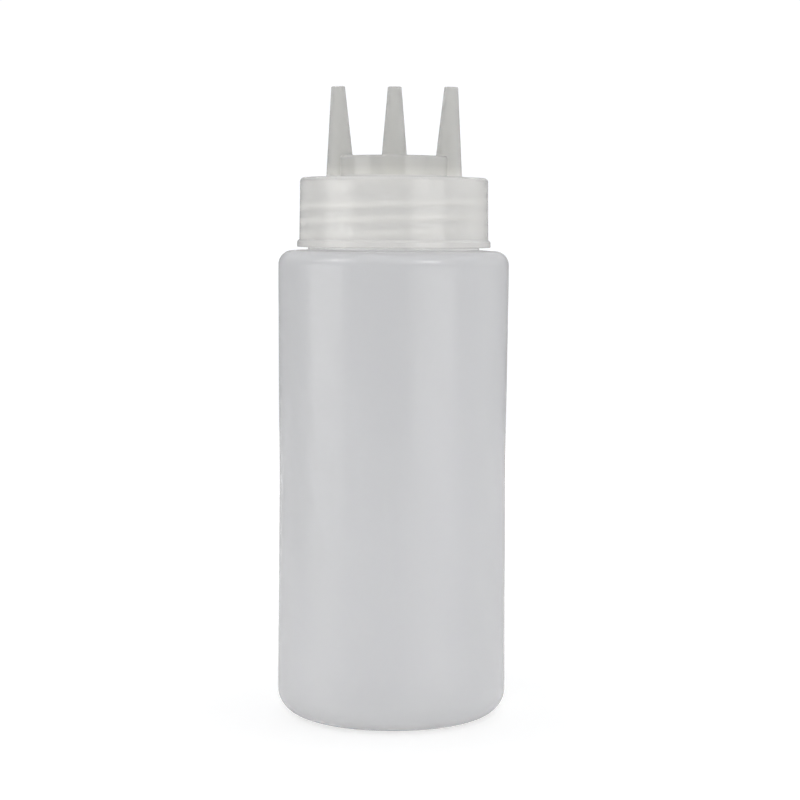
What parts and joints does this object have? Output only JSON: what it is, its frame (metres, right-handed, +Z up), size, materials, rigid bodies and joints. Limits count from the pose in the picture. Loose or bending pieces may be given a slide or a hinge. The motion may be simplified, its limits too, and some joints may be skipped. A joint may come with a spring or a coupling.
{
  "type": "multi-tip squeeze bottle",
  "caption": "Translucent blow-moulded squeeze bottle with a screw cap; a row of tapered pouring tips rises from the cap's raised boss.",
  "frame": {"origin": "centre of the ring that the bottle stands on, at the surface it stands on", "axes": "+Z up along the bottle's axis; +X along the row of tips; -Y is the shown side"},
  "size_m": [0.066, 0.066, 0.18],
  "materials": {
    "bottle_plastic": "milky translucent polyethylene, satin",
    "cap_plastic": "milky translucent polyethylene, smooth and slightly glossy"
  },
  "bodies": {
    "root": {"bottle": "bottle_plastic", "cap": "cap_plastic"}
  },
  "joints": []
}
